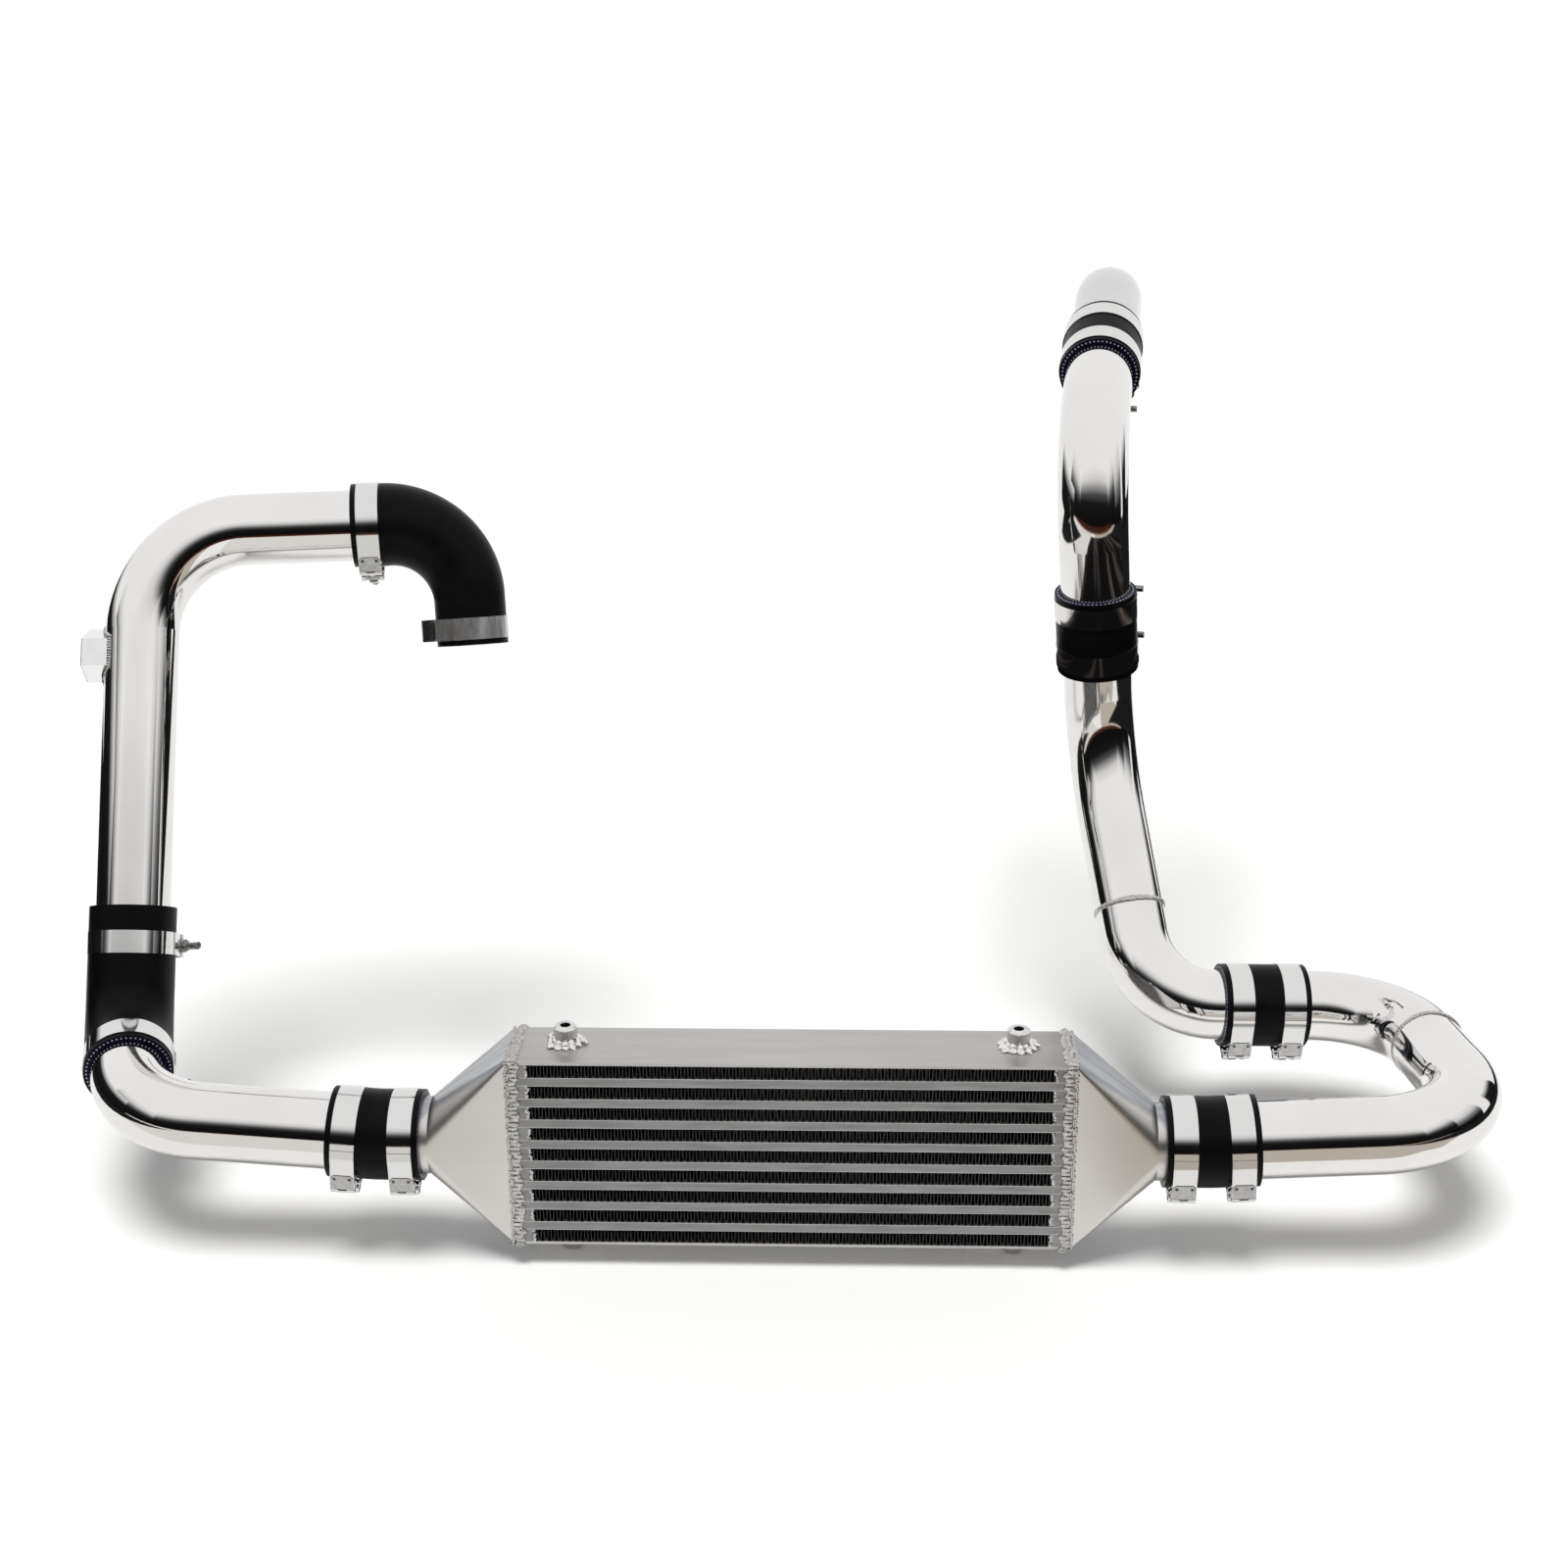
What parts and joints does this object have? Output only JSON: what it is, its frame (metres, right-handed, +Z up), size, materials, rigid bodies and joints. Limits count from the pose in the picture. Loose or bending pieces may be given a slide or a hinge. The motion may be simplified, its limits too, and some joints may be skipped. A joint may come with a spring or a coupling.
{
  "type": "intercooler with charge pipes",
  "caption": "Bar-and-plate intercooler with welded end tanks, polished charge pipes, black hose couplers and T-bolt clamps.",
  "frame": {"origin": "middle of the two bottom bosses' faces", "axes": "+X along the core towards the U pipe, +Y to the back of the kit, +Z up through the bosses"},
  "size_m": [1.2254, 0.8172, 0.7098],
  "materials": {
    "core_plate": "satin, lightly scuffed",
    "core_bar": "satin extruded bar",
    "black_fin": "black coated folded sheet",
    "inner_fin": "plain folded sheet",
    "tank_sheet": "fine brushed",
    "weld": "rippled weld bead",
    "polished_pipe": "mirror polished",
    "machined_boss": "machined",
    "black_silicone": "matt silicone with a woven cut end",
    "clamp_steel": "rolled stainless strip",
    "bolt_steel": "plain stainless"
  },
  "bodies": {
    "root": {"air_fins_1": "black_fin", "air_fins_2": "black_fin", "air_fins_3": "black_fin", "air_fins_4": "black_fin", "air_fins_5": "black_fin", "air_fins_6": "black_fin", "air_fins_7": "black_fin", "air_fins_8": "black_fin", "air_fins_9": "black_fin", "boss_welds": "weld", "bottom_boss_left": "machined_boss", "bottom_boss_right": "machined_boss", "charge_fins": "inner_fin", "clamp_barrels": "bolt_steel", "clamp_bridges": "clamp_steel", "clamp_locknuts": "bolt_steel", "clamp_t_bolts": "bolt_steel", "core_bottom_plate": "core_plate", "core_charge_bars": "core_bar", "core_end_bars": "core_bar", "core_parting_sheets": "core_plate", "core_top_plate": "core_plate", "core_welds": "weld", "elbow_clamp_1": "clamp_steel", "elbow_clamp_2": "clamp_steel", "elbow_hose": "black_silicone", "left_coupler_clamp_1": "clamp_steel", "left_coupler_clamp_2": "clamp_steel", "left_lower_pipe": "polished_pipe", "left_riser_pipe": "polished_pipe", "left_tank": "tank_sheet", "left_tank_coupler": "black_silicone", "left_tank_neck": "polished_pipe", "pipe_welds": "weld", "reducer_clamp_1": "clamp_steel", "reducer_clamp_2": "clamp_steel", "reducing_elbow": "black_silicone", "right_coupler_clamp_1": "clamp_steel", "right_coupler_clamp_2": "clamp_steel", "right_tank": "tank_sheet", "right_tank_coupler": "black_silicone", "right_tank_neck": "polished_pipe", "riser_coupler": "black_silicone", "riser_coupler_clamp_1": "clamp_steel", "riser_coupler_clamp_2": "clamp_steel", "riser_foot_pipe": "polished_pipe", "riser_lower_pipe": "polished_pipe", "riser_upper_pipe": "polished_pipe", "sensor_boss": "machined_boss", "top_boss_left": "machined_boss", "top_boss_right": "machined_boss", "top_coupler": "black_silicone", "top_coupler_clamp_1": "clamp_steel", "top_coupler_clamp_2": "clamp_steel", "top_pipe": "polished_pipe", "u_coupler_clamp_1": "clamp_steel", "u_coupler_clamp_2": "clamp_steel", "u_pipe_coupler": "black_silicone", "u_pipe_front": "polished_pipe", "u_pipe_rear": "polished_pipe"}
  },
  "joints": []
}
